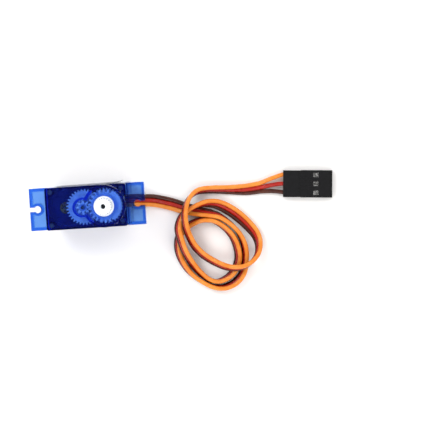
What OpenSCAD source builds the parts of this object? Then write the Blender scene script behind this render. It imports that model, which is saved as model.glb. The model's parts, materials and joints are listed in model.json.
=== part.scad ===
// Micro hobby servo motor with its three-wire lead, laid in flat coils.
// Millimetres, +Z up. The underside of the case is on z = 0 and its middle is on the Z axis.
// The output shaft is towards +X, and the lead leaves through the +X end.

/* [Case] */
// Length of the case without its ears
body_l = 22.5; // [20:0.1:26]
// Width of the case
body_w = 11.8; // [10:0.1:14]
// Top of the bottom cover
base_h = 4.2; // [3.5:0.1:5]
// Top of the middle case and of the ears
mid_top = 18.4; // [17:0.1:20]
// Top of the flat part of the top cover
cover_top = 22.7; // [21:0.1:25]
// Top of the turret round the output shaft
turret_top = 26.7; // [25:0.1:29]
// Radius of the turret
turret_r = 5.85; // [5:0.05:6]
// Radius of the small lobe beside the turret
lobe_r = 2.7; // [2.4:0.1:3]
// Wall of the gear space
wall = 0.6; // [0.5:0.05:1]
// Vertical corner radius
corner_r = 0.6; // [0.3:0.1:1]

/* [Ears] */
// Length over both ears
ear_span = 32.2; // [30:0.1:35]
// Distance between the two ear holes
hole_span = 28.0; // [26:0.1:30]
// Radius of an ear hole
hole_r = 1.0; // [0.8:0.05:1.2]
// Width of the slot from a hole to the end
slot_w = 1.2; // [0.8:0.1:1.4]
// Thickness of an ear
ear_t = 2.5; // [2:0.1:3]
// Thickness of the sunk panels of an ear
web_t = 1.1; // [0.8:0.1:2]
// Width of the rim of an ear
rim_w = 0.9; // [0.6:0.1:1.4]

/* [Gear train] */
// X of the output shaft
out_x = 5.35; // [5:0.05:6]
// Output shaft to gear pin
centre_d = 6.0; // [5:0.1:7]
// Gear pin to motor shaft
motor_d = 5.5; // [5:0.1:6]
// Radius of the gear pin
pin_r = 0.5; // [0.4:0.05:0.6]
// Radial clearance of a running fit
run = 0.05; // [0.01:0.01:0.1]
// Play between teeth
backlash = 0.05; // [0.02:0.01:0.1]
// Teeth of each small gear
small_z = 8; // [8:1:10]
// Teeth of the first wheel
first_z = 36; // [30:1:40]
// Teeth of the second and third wheels
wheel_z = 32; // [28:1:36]
// Teeth of the output gear
out_z = 22; // [20:1:24]
// Radius of the output journal
journal_r = 2.8; // [2.4:0.05:3]
// Tip radius of the output spline
spline_r = 2.4; // [2.2:0.05:2.6]
// Teeth of the output spline
spline_z = 21; // [20:1:25]
// Top of the output spline
spline_top = 29.9; // [28:0.1:31]
// Radius of the horn screw hole
horn_r = 0.7; // [0.5:0.05:1]

/* [Motor] */
// Radius of the motor can
can_r = 4.9; // [4.5:0.05:5]
// Half width across the flats of the can
can_flat = 4.05; // [3.8:0.05:4.5]
// Radius of the motor shaft
shaft_r = 0.4; // [0.3:0.05:0.5]

/* [Lead] */
// Diameter of one wire over its insulation
wire_d = 1.24; // [1:0.01:1.5]
// Distance between neighbouring wires of the ribbon
wire_gap = 1.2; // [1:0.01:1.6]
// Contact pitch of the connector
pitch = 2.54; // [2:0.01:3]
// Length of the connector housing
plug_l = 14.0; // [12:0.1:16]
// Width of the connector housing
plug_w = 7.6; // [7:0.1:8]
// Thickness of the connector housing
plug_h = 2.6; // [2.4:0.1:3]

/* [Hidden] */
$fn = 48;

pin_x = out_x - centre_d;
motor_x = pin_x - motor_d;
screw_x = body_l / 2 - 1.35;
screw_y = body_w / 2 - 1.3;
screw_r = 0.65;
deck_z = 16.4;
deck_t = 1.0;
can_top = deck_z - 0.1;
can_z = 5.2;
board_z = 2.0;
board_t = 0.8;
hole_x = hole_span / 2;
lead_y = 0.5;

case_blue = [0.10, 0.24, 0.78, 0.55];
ear_blue = [0.16, 0.38, 0.92, 0.65];
nylon = [0.93, 0.93, 0.90];
steel = [0.72, 0.73, 0.75];
brass_c = [0.80, 0.62, 0.30];
copper = [0.78, 0.42, 0.22];

// --- plain shapes -----------------------------------------------------------

module rounded_plate(l, w, h, r) {
    linear_extrude(h) union() {
        square([l - 2 * r, w], center = true);
        square([l, w - 2 * r], center = true);
        for (x = [-1, 1], y = [-1, 1])
            translate([x * (l / 2 - r), y * (w / 2 - r)]) circle(r);
    }
}

module rod(x, y, z0, z1, r) {
    translate([x, y, z0]) cylinder(h = z1 - z0, r = r);
}

module block(x0, x1, y0, y1, z0, z1) {
    translate([x0, y0, z0]) cube([x1 - x0, y1 - y0, z1 - z0]);
}

module at_screws() {
    for (x = [-1, 1], y = [-1, 1]) translate([x * screw_x, y * screw_y, 0]) children();
}

// A round rod with two flats that face along X
module flatted(x, z0, z1, r, flat) {
    translate([x, 0, z0]) intersection() {
        cylinder(h = z1 - z0, r = r);
        translate([-flat, -r - 1, -1]) cube([2 * flat, 2 * r + 2, z1 - z0 + 2]);
    }
}

// A ring sector between two angles
module sector(r0, r1, a0, a1, z0, z1) {
    translate([0, 0, z0]) rotate([0, 0, a0]) rotate_extrude(angle = a1 - a0)
        translate([r0, 0]) square([r1 - r0, z1 - z0]);
}

// --- gear teeth -------------------------------------------------------------

function inv(a) = tan(a) * 180 / PI - a;
function tooth_half(z, m, x, r) = 90 / z + (2 * x * tan(20) / z - backlash / (z * m)) * 180 / PI
    + inv(20) - (r > z * m / 2 * cos(20) ? inv(acos(z * m / 2 * cos(20) / r)) : 0);
function tip_r(z, m, x) = z * m / 2 + m * (0.9 + x);
function root_r(z, m, x) = z * m / 2 - m * (1.2 - x);
function flank_r(z, m, x, steps) = let (low = max(root_r(z, m, x), z * m / 2 * cos(20)))
    [for (i = [0 : steps]) low + (tip_r(z, m, x) - low) * i / steps];
function radii(z, m, x, steps) = concat([root_r(z, m, x)],
    [for (r = flank_r(z, m, x, steps)) if (r > root_r(z, m, x) + 0.005) r]);
function gear_outline(z, m, x, steps) = let (rs = radii(z, m, x, steps), n = len(rs) - 1)
    [for (k = [0 : z - 1], s = [-1, 1], i = [0 : n])
        let (r = rs[s < 0 ? i : n - i], a = 360 * k / z + s * tooth_half(z, m, x, r))
            [r * cos(a), r * sin(a)]];

// A spur gear with a tooth centred on +X, or a gap there when half is 1
module spur(z, m, x, z0, z1, half = 0, steps = 3) {
    translate([0, 0, z0]) rotate([0, 0, half * 180 / z])
        linear_extrude(z1 - z0) polygon(gear_outline(z, m, x, steps));
}

// --- case -------------------------------------------------------------------

module top_cover() {
    color(case_blue) difference() {
        union() {
            difference() {
                union() {
                    translate([0, 0, mid_top])
                        rounded_plate(body_l, body_w, cover_top - mid_top, corner_r);
                    rod(out_x, 0, cover_top - 1, turret_top, turret_r);
                    rod(pin_x, 0, cover_top - 1, turret_top, lobe_r);
                }
                translate([0, 0, mid_top - 1])
                    rounded_plate(body_l - 2 * wall, body_w - 2 * wall, cover_top - mid_top + 0.2, 0.3);
                rod(out_x, 0, mid_top, turret_top - 0.8, 5.15);
                rod(pin_x, 0, mid_top, turret_top - 0.8, 2.2);
            }
            at_screws() rod(0, 0, mid_top, cover_top - 0.3, 1.15);
            rod(out_x, 0, turret_top - 1.2, turret_top - 0.4, 3.75);
            rod(pin_x, 0, turret_top - 1.7, turret_top - 0.4, 1.0);
            for (a = [113, 241]) translate([out_x, 0, 0])
                sector(3.4, 5.4, a, a + 6, turret_top - 1.9, turret_top - 0.6);
        }
        rod(out_x, 0, turret_top - 3, turret_top + 1, journal_r + run);
        at_screws() rod(0, 0, mid_top - 1, cover_top - 0.7, screw_r + 0.03);
        rod(pin_x, 0, turret_top - 3, turret_top - 0.75, pin_r + 0.02);
    }
}

module ear_outline() {
    difference() {
        translate([body_l / 2 - 0.6, -body_w / 2])
            square([ear_span / 2 - body_l / 2 + 0.6, body_w]);
        translate([hole_x, 0]) circle(hole_r);
        translate([hole_x, -slot_w / 2]) square([ear_span / 2 - hole_x + 1, slot_w]);
    }
}

module ear_ribs() {
    difference() {
        union() {
            difference() {
                translate([body_l / 2 - 0.6, -body_w / 2])
                    square([ear_span / 2 - body_l / 2 + 0.6, body_w]);
                translate([body_l / 2 + rim_w * 0.6, -body_w / 2 + rim_w])
                    square([ear_span / 2 - body_l / 2 - rim_w * 1.5, body_w - 2 * rim_w]);
            }
            translate([hole_x, 0]) circle(hole_r + 0.75);
            translate([hole_x, -slot_w / 2 - 0.6])
                square([ear_span / 2 - hole_x, slot_w + 1.2]);
        }
        translate([hole_x, 0]) circle(hole_r);
        translate([hole_x, -slot_w / 2]) square([ear_span / 2 - hole_x + 1, slot_w]);
    }
}

module ear() {
    translate([0, 0, mid_top - ear_t]) linear_extrude(ear_t) ear_ribs();
    translate([0, 0, mid_top - (ear_t + web_t) / 2]) linear_extrude(web_t) ear_outline();
}

module middle_case() {
    color(case_blue) difference() {
        union() {
            difference() {
                translate([0, 0, base_h])
                    rounded_plate(body_l, body_w, mid_top - base_h, corner_r);
                translate([0, 0, base_h - 1])
                    rounded_plate(body_l - 1.6, body_w - 1.4, deck_z - base_h + 1, 0.4);
                translate([0, 0, deck_z + deck_t])
                    rounded_plate(body_l - 2 * wall, body_w - 2 * wall, 3, 0.3);
            }
            at_screws() rod(0, 0, base_h, deck_z + 0.2, 0.95);
            at_screws() rod(0, 0, deck_z + 0.2, mid_top, 1.15);
            rod(pin_x, 0, deck_z - 1.0, deck_z + deck_t + 0.4, 1.1);
            ear();
            mirror([1, 0, 0]) ear();
        }
        at_screws() rod(0, 0, base_h - 1, mid_top + 1, screw_r + 0.07);
        rod(motor_x, 0, deck_z - 1, mid_top + 1, 1.75);
        rod(out_x, 0, deck_z - 1, mid_top + 1, 2.25);
        rod(pin_x, 0, deck_z - 0.8, mid_top + 1, pin_r + 0.02);
    }
}

module bottom_cover() {
    color(case_blue) difference() {
        union() {
            difference() {
                rounded_plate(body_l, body_w, base_h, corner_r);
                translate([0, 0, 1.0])
                    rounded_plate(body_l - 1.6, body_w - 1.4, base_h, 0.4);
            }
            intersection() {
                rounded_plate(body_l, body_w, base_h, corner_r);
                at_screws() union() {
                    rod(0, 0, 0.5, board_z - 0.1, 1.6);
                    rod(0, 0, 0.5, base_h, 1.2);
                }
            }
            for (y = [-1, 1]) translate([0, y * 4.55, (board_z + 0.9) / 2])
                cube([11, 0.7, board_z - 0.9], center = true);
        }
        at_screws() rod(0, 0, -1, 1.25, 1.3);
        at_screws() rod(0, 0, 0, base_h + 1, screw_r + 0.07);
        block(body_l / 2 - 2, body_l / 2 + 1, lead_y - 2.0, lead_y + 2.0, board_z + board_t, base_h + 1);
    }
}

module case_screws() {
    color(steel) at_screws() difference() {
        union() {
            rod(0, 0, 0.3, 1.2, 1.2);
            rod(0, 0, 1.0, cover_top - 0.8, screw_r);
        }
        translate([0, 0, 0.4]) cube([1.7, 0.36, 0.9], center = true);
        translate([0, 0, 0.4]) cube([0.36, 1.7, 0.9], center = true);
    }
}

// A thin strip stuck on the +Y side by its upper half. Its lower edge and its +X end lift off.
// Each row is x, and how far the upper half and the lower edge stand off the case.
module side_label() {
    rows = [[-8.6, 0, 0.02], [-1, 0, 0.06], [6, 0, 0.12], [7.3, 0.05, 0.2], [8.3, 0.18, 0.32],
        [9.1, 0.4, 0.5]];
    film = 0.13;
    n = len(rows);
    corners = [for (r = rows) each [
        [r[0], r[1], 15], [r[0], r[1] + film, 15], [r[0], r[1] + film, 9],
        [r[0], r[2] + film, 2.4], [r[0], r[2], 2.4], [r[0], r[1], 9]]];
    faces = concat([[5, 4, 3, 2, 1, 0]],
        [for (i = [0 : n - 2], k = [0 : 5])
            let (a = i * 6 + k, b = i * 6 + (k + 1) % 6) [a, b, b + 6, a + 6]],
        [[for (k = [0 : 5]) (n - 1) * 6 + k]]);
    color([0.86, 0.86, 0.88]) translate([0, body_w / 2, 0])
        polyhedron(points = corners, faces = faces);
}

// --- motor ------------------------------------------------------------------

module motor_can() {
    color(steel) difference() {
        flatted(motor_x, can_z, can_top, can_r, can_flat);
        flatted(motor_x, can_z - 1, can_top - 0.4, can_r - 0.4, can_flat - 0.4);
        rod(motor_x, 0, can_top - 1, can_top + 1, 1.62);
    }
}

module motor_end_cap() {
    color([0.92, 0.92, 0.88]) difference() {
        union() {
            flatted(motor_x, 4.4, can_z, can_r, can_flat);
            flatted(motor_x, 4.8, 6.0, can_r - 0.45, can_flat - 0.45);
        }
        rod(motor_x, 0, 4.0, 7.0, 1.22);
        for (y = [-1, 1]) translate([motor_x, y * 3.0, 5]) cube([1.24, 0.34, 4], center = true);
    }
}

module motor_magnets() {
    color([0.22, 0.22, 0.24]) for (a = [0, 180]) intersection() {
        translate([motor_x, 0, 7.5]) difference() {
            cylinder(h = 7.2, r = can_r - 0.45);
            translate([0, 0, -1]) cylinder(h = 10, r = 3.4);
        }
        translate([motor_x, 0, 0]) rotate([0, 0, a]) block(-3.0, 3.0, 1.0, 6.0, 7, 15);
    }
}

module motor_armature() {
    color([0.55, 0.56, 0.58]) translate([motor_x, 0, 8.0]) difference() {
        union() {
            cylinder(h = 6.2, r = 1.2);
            for (k = [0 : 2]) rotate([0, 0, 120 * k]) {
                translate([0, -0.45, 0]) cube([2.8, 0.9, 6.2]);
                sector(2.55, 3.1, -48, 48, 0, 6.2);
            }
        }
        translate([0, 0, -1]) cylinder(h = 9, r = shaft_r + 0.01);
    }
}

module motor_windings() {
    color(copper) translate([motor_x, 0, 0]) for (k = [0 : 2]) rotate([0, 0, 120 * k])
        difference() {
            translate([1.25, -1.1, 7.65]) cube([1.0, 2.2, 6.9]);
            translate([0, -0.47, 7.98]) cube([4, 0.94, 6.24]);
        }
}

module motor_commutator() {
    color(copper) translate([motor_x, 0, 6.25]) difference() {
        cylinder(h = 1.4, r = 1.0);
        translate([0, 0, -1]) cylinder(h = 4, r = shaft_r + 0.01);
        for (k = [0 : 2]) rotate([0, 0, 60 + 120 * k]) translate([0.85, -0.08, -1])
            cube([1, 0.16, 4]);
    }
}

module motor_shaft() {
    color(steel) rod(motor_x, 0, 4.7, 19.1, shaft_r);
}

module motor_pinion() {
    color(brass_c) translate([motor_x, 0, 0]) difference() {
        spur(small_z, 0.25, 0.35, 17.5, 19.1);
        rod(0, 0, 17, 20, shaft_r + 0.01);
    }
}

module motor_brushes() {
    color(copper) for (y = [-1, 1]) translate([motor_x, y * 1.15, 0]) {
        translate([-1.3, -0.07, 6.4]) cube([3.2, 0.14, 0.9]);
        translate([1.7, -0.2, 6.0]) cube([0.5, 0.4, 1.3]);
    }
}

module motor_terminals() {
    color(brass_c) for (y = [-1, 1]) translate([motor_x, y * 3.0, 0])
        translate([-0.6, -0.15, 3.3]) cube([1.2, 0.3, 3.1]);
}

module bush(z0, z1, r0, r1, z2) {
    translate([motor_x, 0, 0]) difference() {
        union() {
            rod(0, 0, z0, z1, r0);
            rod(0, 0, z0, z2, r1);
        }
        rod(0, 0, z0 - 1, z1 + 1, shaft_r + 0.04);
    }
}

module motor_front_bush() {
    color(brass_c) bush(15.4, 17.0, 1.6, 2.0, can_top - 0.4);
}

module motor_rear_bush() {
    color(brass_c) bush(4.5, 6.05, 1.2, 1.2, 5.0);
}

// --- gear train -------------------------------------------------------------

module bored_gear(x, z0, z1) {
    difference() {
        translate([x, 0, 0]) children();
        rod(x, 0, z0 - 1, z1 + 1, pin_r + run);
    }
}

module first_gear() {
    color(nylon) bored_gear(pin_x, 17, 21) union() {
        spur(first_z, 0.25, -0.35, 17.9, 18.9, 1, 2);
        spur(small_z, 0.3, 0.35, 18.8, 20.15);
    }
}

module second_gear() {
    color(nylon) bored_gear(out_x, 17, 22) union() {
        rod(0, 0, 18.05, 19.2, 1.1);
        spur(wheel_z, 0.3, -0.35, 19.1, 20.1, 1, 2);
        spur(small_z, 0.3, 0.35, 20.0, 21.65);
    }
}

module third_gear() {
    color(nylon) bored_gear(pin_x, 20, 25) union() {
        spur(wheel_z, 0.3, -0.35, 20.3, 21.5, 1, 2);
        spur(small_z, 0.4, 0.3, 21.4, 24.4);
    }
}

module spline() {
    tips = [for (k = [0 : spline_z - 1], s = [[-5, 0.86], [-2, 1], [2, 1], [5, 0.86]])
        let (a = 360 * k / spline_z + s[0] * 21 / spline_z, r = spline_r * s[1])
            [r * cos(a), r * sin(a)]];
    translate([0, 0, turret_top]) linear_extrude(spline_top - turret_top) polygon(tips);
}

module output_gear() {
    color(nylon) translate([out_x, 0, 0]) difference() {
        union() {
            spur(out_z, 0.4, -0.3, 22.2, 24.6, 1);
            sector(3.0, tip_r(out_z, 0.4, -0.3) + 0.03, -58, 58, 22.2, 24.6);
            sector(2.5, 4.4, -20, 20, 24.5, 25.4);
            rod(0, 0, 21.75, 22.4, 1.6);
            rod(0, 0, 24.4, turret_top + 0.35, journal_r);
            spline();
        }
        rod(0, 0, turret_top - 2, spline_top + 1, horn_r);
        rod(0, 0, 21, 24.2, pin_r + 0.01);
    }
}

module gear_pin() {
    color(steel) rod(pin_x, 0, deck_z - 0.7, turret_top - 0.8, pin_r);
}

// --- potentiometer ----------------------------------------------------------

module pot_housing() {
    color([0.16, 0.22, 0.30]) translate([out_x, 0, 0]) difference() {
        union() {
            rod(0, 0, 11.6, can_top, 4.2);
            rod(0, 0, can_top - 0.2, 17.6, 2.2);
        }
        rod(0, 0, 12.0, can_top - 0.8, 3.8);
        rod(0, 0, 14, 19, 1.4 + run);
        for (y = [-1.8, 0, 1.8]) translate([-4, y, 11.75]) cube([3.0, 0.74, 0.24], center = true);
    }
}

module pot_shaft() {
    color(steel) union() {
        rod(out_x, 0, 12.1, 17.9, 1.4);
        rod(out_x, 0, 17.5, 24.1, pin_r);
    }
}

module pot_wiper() {
    color(copper) translate([out_x, 0, 0]) difference() {
        union() {
            rod(0, 0, 12.6, 13.0, 2.0);
            block(1.5, 3.4, -0.4, 0.4, 12.6, 13.0);
            rod(2.9, 0, 12.3, 12.8, 0.35);
        }
        rod(0, 0, 12, 14, 1.41);
    }
}

module pot_track() {
    color([0.12, 0.10, 0.09]) translate([out_x, 0, 0]) rotate([0, 0, -150])
        sector(2.1, 3.6, 0, 300, 12.0, 12.2);
}

module pot_terminals() {
    color(brass_c) for (y = [-1.8, 0, 1.8])
        translate([out_x - 4.1, y, 11.75]) cube([2.8, 0.7, 0.2], center = true);
}

// --- circuit board ----------------------------------------------------------

module circuit_board() {
    color([0.10, 0.36, 0.20]) translate([0, 0, board_z]) difference() {
        translate([-8.1, -4.6, 0]) cube([16.2, 9.2, board_t]);
        for (y = [-1, 1]) rod(-2.9, y * 3.0, -1, 2, 0.25);
    }
}

module control_chip() {
    color([0.08, 0.08, 0.09]) translate([3.2, 0, board_z - 0.52]) cube([5.0, 3.9, 0.8], center = true);
}

module chip_leads() {
    color(steel) for (x = [-2 : 2], y = [-1, 1])
        translate([3.2 + x * 0.95, y * 2.3, board_z - 0.1]) cube([0.36, 0.66, 0.2], center = true);
}

module board_capacitors() {
    color([0.70, 0.55, 0.38]) for (p = [[2.4, 3.4], [2.4, -3.4]])
        translate([p[0], p[1], board_z + board_t + 0.4]) cube([1.7, 0.9, 0.8], center = true);
}

module board_resistors() {
    color([0.07, 0.07, 0.08]) for (p = [[4.6, 3.4], [4.6, -3.4], [1.6, 1.0]])
        translate([p[0], p[1], board_z + board_t + 0.2]) cube([1.2, 0.7, 0.4], center = true);
}

// Bare ends from the motor's tabs to the board
module motor_leads() {
    color([0.75, 0.12, 0.10]) for (y = [-1, 1]) union() {
        translate([motor_x + 0.6, y * 3.0, 3.6]) rotate([0, 90, 0]) cylinder(h = 2.65, r = 0.22);
        translate([motor_x + 3.25, y * 3.0, 3.6]) sphere(0.22);
        rod(motor_x + 3.25, y * 3.0, board_z + 0.2, 3.6, 0.22);
    }
}

module pot_leads() {
    color([0.85, 0.75, 0.15]) for (y = [-1.8, 0, 1.8])
        rod(out_x - 5.1, y, board_z + board_t, 11.65, 0.28);
}

// --- lead -------------------------------------------------------------------

// Each row is x, y, height of the ribbon's lower edge, direction in which the upper wire
// leans, and how far it leans in degrees: 90 is a flat ribbon and 0 a ribbon on its edge.
ROUTE = [[7.2, 0.5, 2.8, -90, 90], [9.6, 0.5, 2.8, -90, 90], [11.6, 0.5, 2.8, -90, 90],
    [13.6, 0.4, 2.2, -92, 90], [15.6, 0.2, 1.2, -94, 90], [17.8, -0.1, 0.3, -98, 90],
    [20.5, -0.8, 0, -106, 90], [23, -1.6, 0, -108, 86], [25, -2.4, 0, -108, 76],
    [27, -3.1, 0, -104, 62], [29.5, -3.8, 0, -94, 48], [32.3, -4.5, 0, -78, 37],
    [35.4, -5.4, 0, -60, 30], [37.8, -7, 0, -50, 27], [39.9, -9, 0, -45, 27],
    [41.4, -11.2, 0, -40, 27], [42.4, -14, 0, -35, 27], [42.6, -17, 0, -30, 27],
    [42, -21, 0, -28, 27], [40.5, -23.7, 0, -28, 27], [38.2, -25.4, 0, -27, 27],
    [35.5, -26.1, 0, -26, 27], [32.5, -25.6, 0, -25, 27], [29.3, -23.8, 0, -24, 27],
    [26.5, -21.3, 0, -23, 27], [24.5, -18.2, 0, -22, 27], [23.5, -15, 0, -20, 27],
    [23.6, -12, 0, -18, 27], [24.8, -9.4, 0, -16, 27], [27, -7.7, 0, -15, 27],
    [29.8, -6.6, 0, -14, 27], [32.2, -6.5, 0, -14, 27], [34.4, -7.1, 0, -13, 27],
    [36.6, -8.6, 0, -12, 27], [38.5, -10.6, 0, -11, 27], [39.8, -13, 0, -10, 27],
    [40.5, -16, 0, -8, 27], [40.4, -18.5, 0, -6, 27], [39.2, -21.3, 0, -4, 27],
    [37, -23.3, 0, -4, 27], [34.2, -24.2, 0, -3, 27], [31.5, -23.4, 0, -2, 27],
    [28.9, -20.9, 0.2, 0, 27], [26.8, -17.7, 1.6, 2, 27], [25.4, -14.6, 3.3, 4, 27],
    [24.5, -11.2, 3.8, 6, 27], [24.1, -8.4, 3.8, 8, 27], [24.6, -6.2, 3.0, 12, 28],
    [25.7, -4.4, 2.7, 18, 31], [27.5, -3.1, 2.7, 24, 36], [30, -2.1, 2.0, 30, 44],
    [32.6, -1.7, 0.6, 34, 52], [35.5, -2.2, 0, 38, 60], [38.5, -3.8, 0, 42, 64],
    [41.3, -6, 0, 44, 64], [43.8, -8.6, 0, 42, 58], [45.8, -11.3, 0, 40, 48],
    [46.6, -14, 0.3, 40, 38], [46.2, -16.8, 1.6, 40, 30], [44.5, -19, 3.3, 40, 27],
    [42, -20.3, 3.8, 40, 27], [39.3, -20.5, 3.8, 40, 27], [36.5, -19.9, 2.8, 40, 27],
    [33.3, -18.3, 1.5, 40, 27], [30.3, -16.1, 1.2, 40, 27], [28.1, -13.2, 2.4, 40, 27],
    [26.9, -10, 4.4, 40, 27], [26.4, -7.4, 6.2, 40, 27], [26.3, -5, 6.7, 40, 27],
    [26.6, -2.6, 5.9, 40, 27], [27.4, -0.5, 4.0, 42, 27], [28.8, 1.1, 1.9, 50, 27],
    [30.8, 2, 0.4, 60, 27], [34.5, 2.1, 0, 70, 30], [39.5, 1.7, 0, 80, 40],
    [44, 1.5, 0, 86, 62], [48, 1.8, 0.2, 86, 84], [51.5, 2.3, 0.6, 86, 90],
    [54.6, 2.5, 0.68, 86, 90], [56.6, 2.4, 0.68, 86, 90]];
END = len(ROUTE) - 1;

// A smooth curve through the rows of the route, t counted in rows
function row(i) = ROUTE[min(max(i, 0), END)];
function ease(t) = let (i = min(floor(t), END - 1), u = t - i,
    a = row(i - 1), b = row(i), c = row(i + 1), d = row(i + 2))
    (2 * b + (c - a) * u + (2 * a - 5 * b + 4 * c - d) * u * u
    + (3 * b - a - 3 * c + d) * u * u * u) / 2;
function unit(v) = v / norm(v);
function heading(t) = let (a = ease(max(t - 0.05, 0)), b = ease(min(t + 0.05, END)))
    unit([b[0] - a[0], b[1] - a[1]]);

// From the brown wire to the orange one, square to the run of the ribbon
function lean(t) = let (p = ease(t), h = heading(t), k = sin(p[4]) * sin(p[3] - atan2(h[1], h[0])))
    [-h[1] * k, h[0] * k, sqrt(max(1 - k * k, 0))];
function spread(t) = wire_gap + (pitch - wire_gap) * min(max((t - END + 3) / 2, 0), 1);
function wire_point(t, side) = let (p = ease(t), e = lean(t))
    [p[0], p[1], max(p[2], 0) + wire_d / 2 + 0.02 + wire_gap * e[2]] + side * spread(t) * e;

STEPS = 78;
SIDES = 8;
module wire(side) {
    path = [for (i = [0 : STEPS]) wire_point(END * i / STEPS, side)];
    rings = [for (i = [0 : STEPS])
        let (d = unit(path[min(i + 1, STEPS)] - path[max(i - 1, 0)]),
            u = unit(cross(d, [0, 0, 1])), v = cross(u, d))
            for (k = [0 : SIDES - 1])
                path[i] + wire_d / 2 * (cos(360 * k / SIDES) * u + sin(360 * k / SIDES) * v)];
    faces = concat([[for (k = [0 : SIDES - 1]) k]],
        [for (i = [0 : STEPS - 1], k = [0 : SIDES - 1])
            let (a = i * SIDES + k, b = i * SIDES + (k + 1) % SIDES)
                [a, a + SIDES, b + SIDES, b]],
        [[for (k = [SIDES - 1 : -1 : 0]) STEPS * SIDES + k]]);
    polyhedron(points = rings, faces = faces);
}

module brown_wire() {
    color([0.35, 0.18, 0.12]) wire(-1);
}

module red_wire() {
    color([0.75, 0.17, 0.13]) wire(0);
}

module orange_wire() {
    color([0.95, 0.55, 0.18]) wire(1);
}

// --- connector --------------------------------------------------------------

module at_plug() {
    translate([54.65, 2.45, 0]) rotate([0, 0, -4]) children();
}

module connector_housing() {
    color([0.06, 0.06, 0.07]) at_plug() difference() {
        union() {
            block(0, plug_l, -plug_w / 2, plug_w / 2, 0, plug_h);
            for (y = [-1, 1]) block(5, plug_l, y * plug_w / 2 - 0.1, y * plug_w / 2 + 0.1, 0.6, plug_h - 0.6);
        }
        for (k = [-1 : 1]) translate([0, k * pitch, 0]) {
            block(-1, plug_l - 1.0, -0.95, 0.95, 0.35, plug_h - 0.35);
            block(plug_l - 2, plug_l + 1, -0.45, 0.45, plug_h / 2 - 0.45, plug_h / 2 + 0.45);
            block(8.6, 10.1, -0.65, 0.65, plug_h / 2, plug_h + 1);
            block(4.7, 8.0, -0.75, 0.75, plug_h - 0.12, plug_h + 1);
        }
        block(4.6, 4.9, -plug_w, plug_w, plug_h - 0.15, plug_h + 1);
    }
}

module crimp_terminals() {
    color([0.85, 0.85, 0.86]) at_plug() for (k = [-1 : 1]) translate([0, k * pitch, plug_h / 2])
        difference() {
            union() {
                translate([6.4, -0.8, -0.8]) cube([6.2, 1.6, 1.6]);
                translate([2.3, -0.8, -0.85]) cube([4.4, 1.6, 0.35]);
            }
            translate([7.2, -0.55, -0.55]) cube([6, 1.1, 1.1]);
        }
}

top_cover();
middle_case();
bottom_cover();
case_screws();
side_label();
motor_can();
motor_end_cap();
motor_magnets();
motor_armature();
motor_windings();
motor_commutator();
motor_shaft();
motor_pinion();
motor_brushes();
motor_terminals();
motor_front_bush();
motor_rear_bush();
first_gear();
second_gear();
third_gear();
output_gear();
gear_pin();
pot_housing();
pot_shaft();
pot_wiper();
pot_track();
pot_terminals();
circuit_board();
control_chip();
chip_leads();
board_capacitors();
board_resistors();
motor_leads();
pot_leads();
brown_wire();
red_wire();
orange_wire();
connector_housing();
crimp_terminals();
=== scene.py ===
import json
import math

import bpy
from mathutils import Matrix, Vector


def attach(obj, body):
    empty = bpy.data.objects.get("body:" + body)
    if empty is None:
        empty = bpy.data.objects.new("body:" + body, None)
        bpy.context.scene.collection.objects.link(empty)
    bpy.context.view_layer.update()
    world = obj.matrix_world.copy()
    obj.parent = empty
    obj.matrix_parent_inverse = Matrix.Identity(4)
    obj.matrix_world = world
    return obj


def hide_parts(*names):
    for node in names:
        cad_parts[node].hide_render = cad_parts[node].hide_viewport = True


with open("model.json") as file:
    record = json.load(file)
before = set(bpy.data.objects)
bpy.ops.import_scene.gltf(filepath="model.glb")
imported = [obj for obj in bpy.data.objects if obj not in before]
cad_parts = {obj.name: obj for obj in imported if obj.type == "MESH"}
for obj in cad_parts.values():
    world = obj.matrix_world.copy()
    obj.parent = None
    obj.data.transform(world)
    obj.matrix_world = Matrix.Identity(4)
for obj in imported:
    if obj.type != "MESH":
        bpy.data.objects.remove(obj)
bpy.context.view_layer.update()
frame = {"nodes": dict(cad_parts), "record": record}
nodes = frame["nodes"]
MM = 0.001

# --- camera -----------------------------------------------------------------

AIM = Vector((0.0346, -0.0053, 0.0))
BACK = Vector((0.0394, 0.0354, 0.9986)).normalized()  # from AIM to the camera
UP = Vector((0.0639, 0.9972, -0.0379))
DISTANCE = 0.6
LENS = 175.2
SENSOR = 36.0
NEAREST, FARTHEST = 0.01, 20.0


def add_camera():
    """Looks almost straight down, as the photograph does."""
    up = (UP - UP.dot(BACK) * BACK).normalized()
    right = up.cross(BACK)
    turn = Matrix((right, up, BACK)).transposed().to_4x4()
    data = bpy.data.cameras.new("camera")
    data.lens = LENS
    data.sensor_width = SENSOR
    data.clip_start = NEAREST
    data.clip_end = FARTHEST
    camera = bpy.data.objects.new("camera", data)
    camera.matrix_world = Matrix.Translation(AIM + BACK * DISTANCE) @ turn
    bpy.context.scene.collection.objects.link(camera)
    bpy.context.scene.camera = camera


# --- the lead ---------------------------------------------------------------

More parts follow.
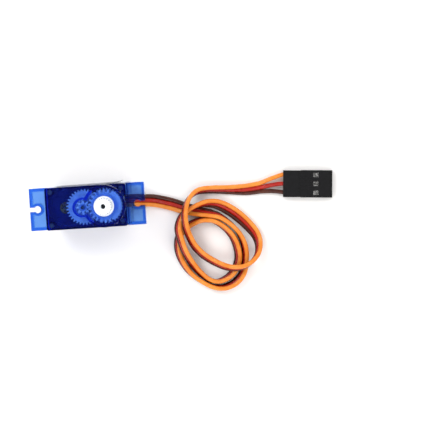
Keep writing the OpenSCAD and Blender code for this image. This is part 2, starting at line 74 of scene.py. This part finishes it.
# The route of part.scad in millimetres: x, y, height of the ribbon's lower edge,
# direction in which the upper wire leans, and how far it leans in degrees.
ROUTE = [
    (7.2, 0.5, 2.8, -90, 90), (9.6, 0.5, 2.8, -90, 90), (11.6, 0.5, 2.8, -90, 90),
    (13.6, 0.4, 2.2, -92, 90), (15.6, 0.2, 1.2, -94, 90), (17.8, -0.1, 0.3, -98, 90),
    (20.5, -0.8, 0, -106, 90), (23, -1.6, 0, -108, 86), (25, -2.4, 0, -108, 76),
    (27, -3.1, 0, -104, 62), (29.5, -3.8, 0, -94, 48), (32.3, -4.5, 0, -78, 37),
    (35.4, -5.4, 0, -60, 30), (37.8, -7, 0, -50, 27), (39.9, -9, 0, -45, 27),
    (41.4, -11.2, 0, -40, 27), (42.4, -14, 0, -35, 27), (42.6, -17, 0, -30, 27),
    (42, -21, 0, -28, 27), (40.5, -23.7, 0, -28, 27), (38.2, -25.4, 0, -27, 27),
    (35.5, -26.1, 0, -26, 27), (32.5, -25.6, 0, -25, 27), (29.3, -23.8, 0, -24, 27),
    (26.5, -21.3, 0, -23, 27), (24.5, -18.2, 0, -22, 27), (23.5, -15, 0, -20, 27),
    (23.6, -12, 0, -18, 27), (24.8, -9.4, 0, -16, 27), (27, -7.7, 0, -15, 27),
    (29.8, -6.6, 0, -14, 27), (32.2, -6.5, 0, -14, 27), (34.4, -7.1, 0, -13, 27),
    (36.6, -8.6, 0, -12, 27), (38.5, -10.6, 0, -11, 27), (39.8, -13, 0, -10, 27),
    (40.5, -16, 0, -8, 27), (40.4, -18.5, 0, -6, 27), (39.2, -21.3, 0, -4, 27),
    (37, -23.3, 0, -4, 27), (34.2, -24.2, 0, -3, 27), (31.5, -23.4, 0, -2, 27),
    (28.9, -20.9, 0.2, 0, 27), (26.8, -17.7, 1.6, 2, 27), (25.4, -14.6, 3.3, 4, 27),
    (24.5, -11.2, 3.8, 6, 27), (24.1, -8.4, 3.8, 8, 27), (24.6, -6.2, 3.0, 12, 28),
    (25.7, -4.4, 2.7, 18, 31), (27.5, -3.1, 2.7, 24, 36), (30, -2.1, 2.0, 30, 44),
    (32.6, -1.7, 0.6, 34, 52), (35.5, -2.2, 0, 38, 60), (38.5, -3.8, 0, 42, 64),
    (41.3, -6, 0, 44, 64), (43.8, -8.6, 0, 42, 58), (45.8, -11.3, 0, 40, 48),
    (46.6, -14, 0.3, 40, 38), (46.2, -16.8, 1.6, 40, 30), (44.5, -19, 3.3, 40, 27),
    (42, -20.3, 3.8, 40, 27), (39.3, -20.5, 3.8, 40, 27), (36.5, -19.9, 2.8, 40, 27),
    (33.3, -18.3, 1.5, 40, 27), (30.3, -16.1, 1.2, 40, 27), (28.1, -13.2, 2.4, 40, 27),
    (26.9, -10, 4.4, 40, 27), (26.4, -7.4, 6.2, 40, 27), (26.3, -5, 6.7, 40, 27),
    (26.6, -2.6, 5.9, 40, 27), (27.4, -0.5, 4.0, 42, 27), (28.8, 1.1, 1.9, 50, 27),
    (30.8, 2, 0.4, 60, 27), (34.5, 2.1, 0, 70, 30), (39.5, 1.7, 0, 80, 40), (44, 1.5, 0, 86, 62),
    (48, 1.8, 0.2, 86, 84), (51.5, 2.3, 0.6, 86, 90), (54.6, 2.5, 0.68, 86, 90),
    (56.6, 2.4, 0.68, 86, 90),
]
END = len(ROUTE) - 1
WIRE_D = 1.24  # mm
WIRE_GAP = 1.2  # mm between neighbouring wires' middles along the ribbon
PITCH = 2.54  # mm between them in the connector
SPREAD_START, SPREAD_ROWS = 3, 2  # rows before the end where they spread, and over how many
HEADING_STEP = 0.05  # rows either side that give the route's direction
FLOOR_GAP = 0.02  # mm under the lowest wire
WIRE_STEPS = 560
WIRE_SIDES = 18


def route_point(t):
    """The Catmull-Rom curve through the route's rows."""
    i = min(int(t), END - 1)
    u = t - i
    a, b, c, d = (ROUTE[min(max(i + k, 0), END)] for k in (-1, 0, 1, 2))
    return [
        (2 * q + (r - p) * u + (2 * p - 5 * q + 4 * r - s) * u * u
         + (3 * q - p - 3 * r + s) * u ** 3) / 2
        for p, q, r, s in zip(a, b, c, d)
    ]


def wire_point(t, side):
    """A point of the brown wire at side -1, the red one at 0 or the orange one at 1."""
    x, y, lift, way, lean = route_point(t)
    before = route_point(max(t - HEADING_STEP, 0))
    after = route_point(min(t + HEADING_STEP, END))
    heading = math.atan2(after[1] - before[1], after[0] - before[0])
    k = math.sin(math.radians(lean)) * math.sin(math.radians(way) - heading)
    rise = math.sqrt(max(1 - k * k, 0))
    opened = min(max((t - END + SPREAD_START) / SPREAD_ROWS, 0), 1)
    spread = WIRE_GAP + (PITCH - WIRE_GAP) * opened
    height = max(lift, 0) + WIRE_D / 2 + FLOOR_GAP + WIRE_GAP * rise
    return Vector((
        x - side * spread * math.sin(heading) * k,
        y + side * spread * math.cos(heading) * k,
        height + side * spread * rise,
    )) * MM


def tube(name, points, radius):
    """A smooth round tube along points, closed at both ends."""
    rings, last = [], len(points) - 1
    for i, point in enumerate(points):
        along = (points[min(i + 1, last)] - points[max(i - 1, 0)]).normalized()
        across = along.cross(Vector((0, 0, 1))).normalized()
        above = across.cross(along)
        for k in range(WIRE_SIDES):
            turn = 2 * math.pi * k / WIRE_SIDES
            rings.append(point + radius * (math.cos(turn) * across + math.sin(turn) * above))
    faces = [
        (i * WIRE_SIDES + k, (i + 1) * WIRE_SIDES + k,
         (i + 1) * WIRE_SIDES + (k + 1) % WIRE_SIDES, i * WIRE_SIDES + (k + 1) % WIRE_SIDES)
        for i in range(last) for k in range(WIRE_SIDES)
    ]
    faces.append(tuple(range(WIRE_SIDES)))
    faces.append(tuple(last * WIRE_SIDES + k for k in reversed(range(WIRE_SIDES))))
    mesh = bpy.data.meshes.new(name)
    mesh.from_pydata(rings, [], faces)
    mesh.polygons.foreach_set("use_smooth", [True] * (len(faces) - 2) + [False] * 2)
    mesh.update()
    return mesh


def add_wire(name, node, side):
    """One wire of the lead, in place of its node, with the connector at its far end."""
    points = [wire_point(END * i / WIRE_STEPS, side) for i in range(WIRE_STEPS + 1)]
    wire = bpy.data.objects.new(name, tube(name, points, WIRE_D / 2 * MM))
    bpy.context.scene.collection.objects.link(wire)
    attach(wire, "case")
    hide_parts(node)
    return wire


add_camera()
leads = {
    "brown": add_wire("brown_lead", "brown_wire", -1),
    "red": add_wire("red_lead", "red_wire", 0),
    "orange": add_wire("orange_lead", "orange_wire", 1),
}

# --- material nodes ---------------------------------------------------------

NOISE_ROUGHNESS = 0.55


class Paint:
    """A node material with a few short ways to add to it."""

    def __init__(self, name):
        self.material = bpy.data.materials.new(name)
        self.material.use_nodes = True
        self.tree = self.material.node_tree
        self.tree.nodes.clear()
        self.output = self.node("ShaderNodeOutputMaterial")
        self.place = self.node("ShaderNodeTexCoord").outputs["Object"]

    def node(self, kind, **settings):
        node = self.tree.nodes.new(kind)
        for key, value in settings.items():
            setattr(node, key, value)
        return node

    def link(self, value, socket):
        if isinstance(value, bpy.types.NodeSocket):
            self.tree.links.new(value, socket)
        else:
            socket.default_value = value

    def principled(self, **sockets):
        """A principled shader, each socket named with _ for a space."""
        node = self.node("ShaderNodeBsdfPrincipled")
        for key, value in sockets.items():
            self.link(value, node.inputs[key.replace("_", " ")])
        return node

    def noise(self, scale, detail=3.0, stretch=None):
        """Noise of that many cells a metre, stretched along an axis where asked."""
        node = self.node("ShaderNodeTexNoise")
        node.inputs["Scale"].default_value = scale
        node.inputs["Detail"].default_value = detail
        node.inputs["Roughness"].default_value = NOISE_ROUGHNESS
        self.link(self.stretched(stretch), node.inputs["Vector"])
        return node.outputs["Fac"]

    def stretched(self, stretch):
        """The object's own coordinates, scaled along each axis."""
        if stretch is None:
            return self.place
        mapping = self.node("ShaderNodeMapping")
        mapping.inputs["Scale"].default_value = stretch
        self.link(self.place, mapping.inputs["Vector"])
        return mapping.outputs["Vector"]

    def span(self, value, low, high, start=0.3, end=0.7):
        """From one number to another as value goes from start to end."""
        node = self.node("ShaderNodeMapRange")
        node.inputs["From Min"].default_value = start
        node.inputs["From Max"].default_value = end
        node.inputs["To Min"].default_value = low
        node.inputs["To Max"].default_value = high
        self.link(value, node.inputs["Value"])
        return node.outputs["Result"]

    def blend(self, value, low, high, start=0.3, end=0.7):
        """From one colour to another as value goes from start to end."""
        node = self.node("ShaderNodeValToRGB")
        ramp = node.color_ramp
        ramp.elements[0].position, ramp.elements[1].position = start, end
        ramp.elements[0].color, ramp.elements[1].color = (*low, 1), (*high, 1)
        self.link(value, node.inputs["Fac"])
        return node.outputs["Color"]

    def bump(self, value, distance, strength, normal=None):
        """A surface raised by up to distance metres, on top of another bump where given."""
        node = self.node("ShaderNodeBump")
        node.inputs["Distance"].default_value = distance
        node.inputs["Strength"].default_value = strength
        self.link(value, node.inputs["Height"])
        if normal is not None:
            self.link(normal, node.inputs["Normal"])
        return node.outputs["Normal"]

    def finish(self, shader, volume=None):
        self.link(shader.outputs[0], self.output.inputs["Surface"])
        if volume is not None:
            self.link(volume.outputs[0], self.output.inputs["Volume"])
        return self.material


def srgb(red, green, blue):
    """A colour as a screen shows it, from 0 to 255, as the shaders take it."""
    def linear(value):
        value /= 255
        return value / 12.92 if value <= 0.04045 else ((value + 0.055) / 1.055) ** 2.4
    return tuple(linear(v) for v in (red, green, blue))


# --- materials --------------------------------------------------------------

PLASTIC_IOR = 1.45

def blue_plastic(name, tint, passed, density, share):
    """Clear royal blue plastic: gloss outside, and deeper blue where it is thicker.

    tint is what one surface lets through, passed and density are the colour that
    a depth of it lets through, and share is the part of the light it scatters.
    """
    p = Paint(name)
    skin = p.bump(p.noise(2600, 2), 0.00001, 0.25)
    skin = p.bump(p.noise(320, 2), 0.00006, 0.25, skin)
    clear = p.node("ShaderNodeBsdfTransparent")
    clear.inputs["Color"].default_value = (*tint, 1)
    body = p.principled(
        Base_Color=p.blend(p.noise(500, 3), srgb(10, 34, 190), srgb(20, 58, 225)),
        Roughness=p.span(p.noise(900), 0.25, 0.4),
        Normal=skin,
    )
    inner = p.node("ShaderNodeMixShader")
    inner.inputs[0].default_value = share
    p.link(clear.outputs[0], inner.inputs[1])
    p.link(body.outputs[0], inner.inputs[2])
    gloss = p.node("ShaderNodeBsdfGlossy")
    gloss.inputs["Color"].default_value = (0.9, 0.95, 1.0, 1)
    p.link(p.span(p.noise(700), 0.05, 0.14), gloss.inputs["Roughness"])
    p.link(skin, gloss.inputs["Normal"])
    edge = p.node("ShaderNodeFresnel")
    edge.inputs["IOR"].default_value = PLASTIC_IOR
    p.link(skin, edge.inputs["Normal"])
    outer = p.node("ShaderNodeMixShader")
    p.link(edge.outputs[0], outer.inputs[0])
    p.link(inner.outputs[0], outer.inputs[1])
    p.link(gloss.outputs[0], outer.inputs[2])
    depth = p.node("ShaderNodeVolumeAbsorption")
    depth.inputs["Color"].default_value = (*passed, 1)
    depth.inputs["Density"].default_value = density
    return p.finish(outer, depth)


def nylon():
    """White and slightly waxy."""
    p = Paint("white_nylon")
    tone = p.noise(900, 4)
    return p.finish(p.principled(
        Base_Color=p.blend(tone, srgb(220, 225, 230), srgb(234, 237, 240)),
        Roughness=p.span(p.noise(2500), 0.32, 0.5),
        Subsurface_Weight=0.5, Subsurface_Radius=(0.001, 0.001, 0.001), Subsurface_Scale=1.0,
        Normal=p.bump(p.noise(4000, 2), 0.00001, 0.3),
    ))


def metal(name, low, high, rough=(0.2, 0.38), stretch=None, depth=0.000008):
    """Bare metal with a fine grain, drawn out where stretch is given."""
    p = Paint(name)
    grain = p.noise(1400, 3, stretch=stretch)
    return p.finish(p.principled(
        Base_Color=p.blend(p.noise(420, 4), low, high),
        Metallic=1.0,
        Roughness=p.span(grain, *rough),
        Normal=p.bump(grain, depth, 0.4),
    ))


def plastic(name, low, high, rough=(0.3, 0.5), scale=900, specular=0.5):
    """Opaque moulded plastic and the like, faintly uneven."""
    p = Paint(name)
    return p.finish(p.principled(
        Specular_IOR_Level=specular,
        Base_Color=p.blend(p.noise(scale, 4), low, high),
        Roughness=p.span(p.noise(scale * 2), *rough),
        Normal=p.bump(p.noise(scale * 4, 2), 0.00001, 0.4),
    ))


def pvc(name, low, high):
    """Smooth soft insulation with faint ripples and duller spots."""
    p = Paint(name)
    ripple = p.bump(p.noise(1500, 2), 0.00002, 0.35)
    return p.finish(p.principled(
        Base_Color=p.blend(p.noise(380, 4), low, high),
        Roughness=p.span(p.noise(700), 0.22, 0.36),
        Subsurface_Weight=0.08, Subsurface_Radius=(0.001, 0.0006, 0.0004), Subsurface_Scale=0.3,
        Specular_IOR_Level=0.2, Coat_Weight=0.18, Coat_Roughness=0.08,
        Normal=ripple,
    ))


def label_film():
    """Silver film, brushed along the case and not quite flat."""
    p = Paint("label_film")
    brushed = p.noise(1600, 3, stretch=(0.15, 1.0, 3.0))
    return p.finish(p.principled(
        Base_Color=p.blend(p.noise(260, 4), srgb(112, 116, 124), srgb(140, 144, 152)),
        Metallic=0.7,
        Roughness=p.span(brushed, 0.26, 0.42),
        Normal=p.bump(p.noise(240, 2), 0.00008, 0.4, p.bump(brushed, 0.000006, 0.4)),
    ))


def board():
    """Green solder mask over copper tracks."""
    p = Paint("board_green")
    cells = p.node("ShaderNodeTexVoronoi", feature="DISTANCE_TO_EDGE", distance="CHEBYCHEV")
    cells.inputs["Scale"].default_value = 620
    p.link(p.place, cells.inputs["Vector"])
    track = p.span(cells.outputs["Distance"], 1, 0, 0.10, 0.16)
    return p.finish(p.principled(
        Base_Color=p.blend(track, srgb(12, 74, 40), srgb(40, 128, 70), 0.2, 0.8),
        Roughness=p.span(p.noise(1500), 0.25, 0.4),
        Normal=p.bump(track, 0.00003, 0.6),
    ))


def windings():
    """Enamelled copper wire, laid turn on turn, with painted shade darkening the grooves between
    turns.
    """
    p = Paint("copper")
    turns = p.node("ShaderNodeTexWave", wave_type="BANDS", bands_direction="Z")
    turns.inputs["Scale"].default_value = 950
    turns.inputs["Distortion"].default_value = 0.6
    p.link(p.place, turns.inputs["Vector"])
    return p.finish(p.principled(
        # colour follows the bump's bands, darker in the low grooves: painted shade between the
        # turns
        Base_Color=p.blend(turns.outputs["Fac"], srgb(120, 56, 30), srgb(205, 120, 70), 0.1, 0.9),
        Metallic=0.85,
        Roughness=p.span(p.noise(1800), 0.25, 0.4),
        Normal=p.bump(turns.outputs["Fac"], 0.00006, 0.8),
    ))


def floor_paint():
    """Matt white paper."""
    p = Paint("floor")
    return p.finish(p.principled(
        Base_Color=p.blend(p.noise(9, 3), srgb(246, 245, 244), srgb(249, 249, 248)),
        Roughness=p.span(p.noise(60), 0.6, 0.75),
        Normal=p.bump(p.noise(900, 2), 0.00001, 0.1),
    ))


PAINTS = {
    "blue_case": blue_plastic("blue_case", (0.78, 0.90, 0.99), (0.04, 0.49, 0.93), 1250, 0.08),
    "blue_cover": blue_plastic("blue_cover", (0.83, 0.92, 1.0), (0.05, 0.42, 0.98), 820, 0.03),
    # steel: a plain grey of its own, made darker than bare steel as painted shade for the parts in
    # the dim inside of the case
    "steel": metal("steel", srgb(84, 86, 90), srgb(118, 120, 124), (0.26, 0.42), (1, 1, 0.15)),
    "label_film": label_film(),
    "white_nylon": nylon(),
    "ferrite": plastic("ferrite", srgb(38, 38, 42), srgb(58, 58, 62), (0.5, 0.7)),
    "lamination_steel": metal("lamination_steel", srgb(92, 92, 98), srgb(150, 150, 156),
                              (0.3, 0.5), (0.3, 0.3, 6)),
    "copper": windings(),
    "brass": metal("brass", srgb(138, 104, 48), srgb(184, 146, 76)),
    "pot_plastic": plastic("pot_plastic", srgb(34, 48, 74), srgb(48, 64, 92)),
    "carbon_track": plastic("carbon_track", srgb(24, 22, 22), srgb(44, 42, 40), (0.45, 0.6)),
    "board_green": board(),
    "black_plastic": plastic("black_plastic", srgb(20, 20, 22), srgb(34, 34, 36), (0.35, 0.5)),
    "tinned_metal": metal("tinned_metal", srgb(196, 196, 194), srgb(238, 238, 236), (0.14, 0.34),
                          None, 0.00002),
    "ceramic": plastic("ceramic", srgb(150, 116, 78), srgb(196, 160, 118), (0.4, 0.6)),
    "brown_pvc": pvc("brown_pvc", srgb(56, 19, 9), srgb(80, 32, 16)),
    "red_pvc": pvc("red_pvc", srgb(150, 20, 12), srgb(178, 34, 22)),
    "orange_pvc": pvc("orange_pvc", srgb(216, 122, 36), srgb(232, 144, 58)),
    "connector_black": plastic("connector_black", srgb(6, 6, 8), srgb(12, 12, 15),
                               (0.34, 0.5), 1400, 0.22),
}


def paint_everything():
    """Each node gets its own slot's paint, and the top cover a clearer one."""
    for part in frame["record"]["subparts"]:
        mesh = nodes[part["node"]].data
        mesh.materials.clear()
        paint = "blue_cover" if part["node"] == "top_cover" else part["material_slot"]
        mesh.materials.append(PAINTS[paint])
    for colour, wire in leads.items():
        wire.data.materials.append(PAINTS[colour + "_pvc"])


# --- edges ------------------------------------------------------------------

# Width of the rounded edge in mm, for the nodes that get one.
BEVELS = {
    "top_cover": 0.12, "middle_case": 0.10, "bottom_cover": 0.15, "connector_housing": 0.10,
    "case_screws": 0.03, "crimp_terminals": 0.04, "motor_can": 0.15, "output_gear": 0.04,
    "pot_housing": 0.1, "circuit_board": 0.04, "control_chip": 0.06, "board_capacitors": 0.05,
    "board_resistors": 0.04, "motor_end_cap": 0.08, "motor_armature": 0.05, "motor_windings": 0.25,
}


BEVEL_SEGMENTS = 2
SHARPER_THAN = math.radians(40)
WELD_DISTANCE = 1e-6


def soften_edges():
    """Rounds the sharp edges of the nodes in BEVELS."""
    for name, width in BEVELS.items():
        piece = nodes[name]
        weld = piece.modifiers.new("weld", "WELD")
        weld.merge_threshold = WELD_DISTANCE
        bevel = piece.modifiers.new("bevel", "BEVEL")
        bevel.width = width * MM
        bevel.segments = BEVEL_SEGMENTS
        bevel.limit_method = "ANGLE"
        bevel.angle_limit = SHARPER_THAN
        bevel.use_clamp_overlap = True
        bevel.harden_normals = True


# --- floor and light --------------------------------------------------------

FLOOR_REACH = 1.5
FLOOR_DROP = 0.00006  # keeps it clear of the underside
ROOM_LIGHT = 1.0
DARK_LIGHT = 0.06
DARK_FROM, DARK_FULL = 0.93, 0.975  # cosines of the angle from straight above
EXPOSURE = 0.15
CLEAR_SURFACES = 16
LIGHTS_AIM = (0.025, -0.004, 0)
# name, place, diameter and power of each lamp
LIGHTS = [
    ("key", (-0.26, 0.28, 0.56), 0.24, 1.15),
    ("right", (0.30, 0.20, 0.52), 0.34, 0.5),
    ("front", (-0.04, -0.34, 0.54), 0.34, 0.8),
]


def add_floor():
    mesh = bpy.data.meshes.new("floor")
    r = FLOOR_REACH
    mesh.from_pydata([(-r, -r, 0), (r, -r, 0), (r, r, 0), (-r, r, 0)], [], [(0, 1, 2, 3)])
    floor = bpy.data.objects.new("floor", mesh)
    floor.location.z = -FLOOR_DROP
    floor.data.materials.append(floor_paint())
    bpy.context.scene.collection.objects.link(floor)


def add_light(name, place, size, power):
    """A round lamp that faces the middle of the object."""
    data = bpy.data.lights.new(name, "AREA")
    data.shape = "DISK"
    data.size = size
    data.energy = power
    light = bpy.data.objects.new(name, data)
    light.location = place
    light.rotation_euler = (Vector(LIGHTS_AIM) - Vector(place)).to_track_quat("-Z", "Y").to_euler()
    bpy.context.scene.collection.objects.link(light)


def add_world():
    """A bright room with a dark patch straight above, where the camera stands."""
    world = bpy.data.worlds.new("studio")
    world.use_nodes = True
    tree = world.node_tree
    place = tree.nodes.new("ShaderNodeTexCoord")
    parts = tree.nodes.new("ShaderNodeSeparateXYZ")
    patch = tree.nodes.new("ShaderNodeMapRange")
    patch.interpolation_type = "SMOOTHSTEP"
    patch.inputs["From Min"].default_value = DARK_FROM
    patch.inputs["From Max"].default_value = DARK_FULL
    patch.inputs["To Min"].default_value = ROOM_LIGHT
    patch.inputs["To Max"].default_value = DARK_LIGHT
    tree.links.new(place.outputs["Generated"], parts.inputs[0])
    tree.links.new(parts.outputs["Z"], patch.inputs["Value"])
    background = tree.nodes["Background"]
    background.inputs["Color"].default_value = (1.0, 0.985, 0.975, 1)
    tree.links.new(patch.outputs["Result"], background.inputs["Strength"])
    bpy.context.scene.world = world


def light_scene():
    add_world()
    for light in LIGHTS:
        add_light(*light)


def set_view():
    """Plain tones, and enough see-through surfaces for the whole servo."""
    scene = bpy.context.scene
    scene.view_settings.view_transform = "Standard"
    scene.view_settings.exposure = EXPOSURE
    scene.cycles.transparent_max_bounces = CLEAR_SURFACES


paint_everything()
soften_edges()
add_floor()
light_scene()
set_view()

bpy.context.view_layer.update()
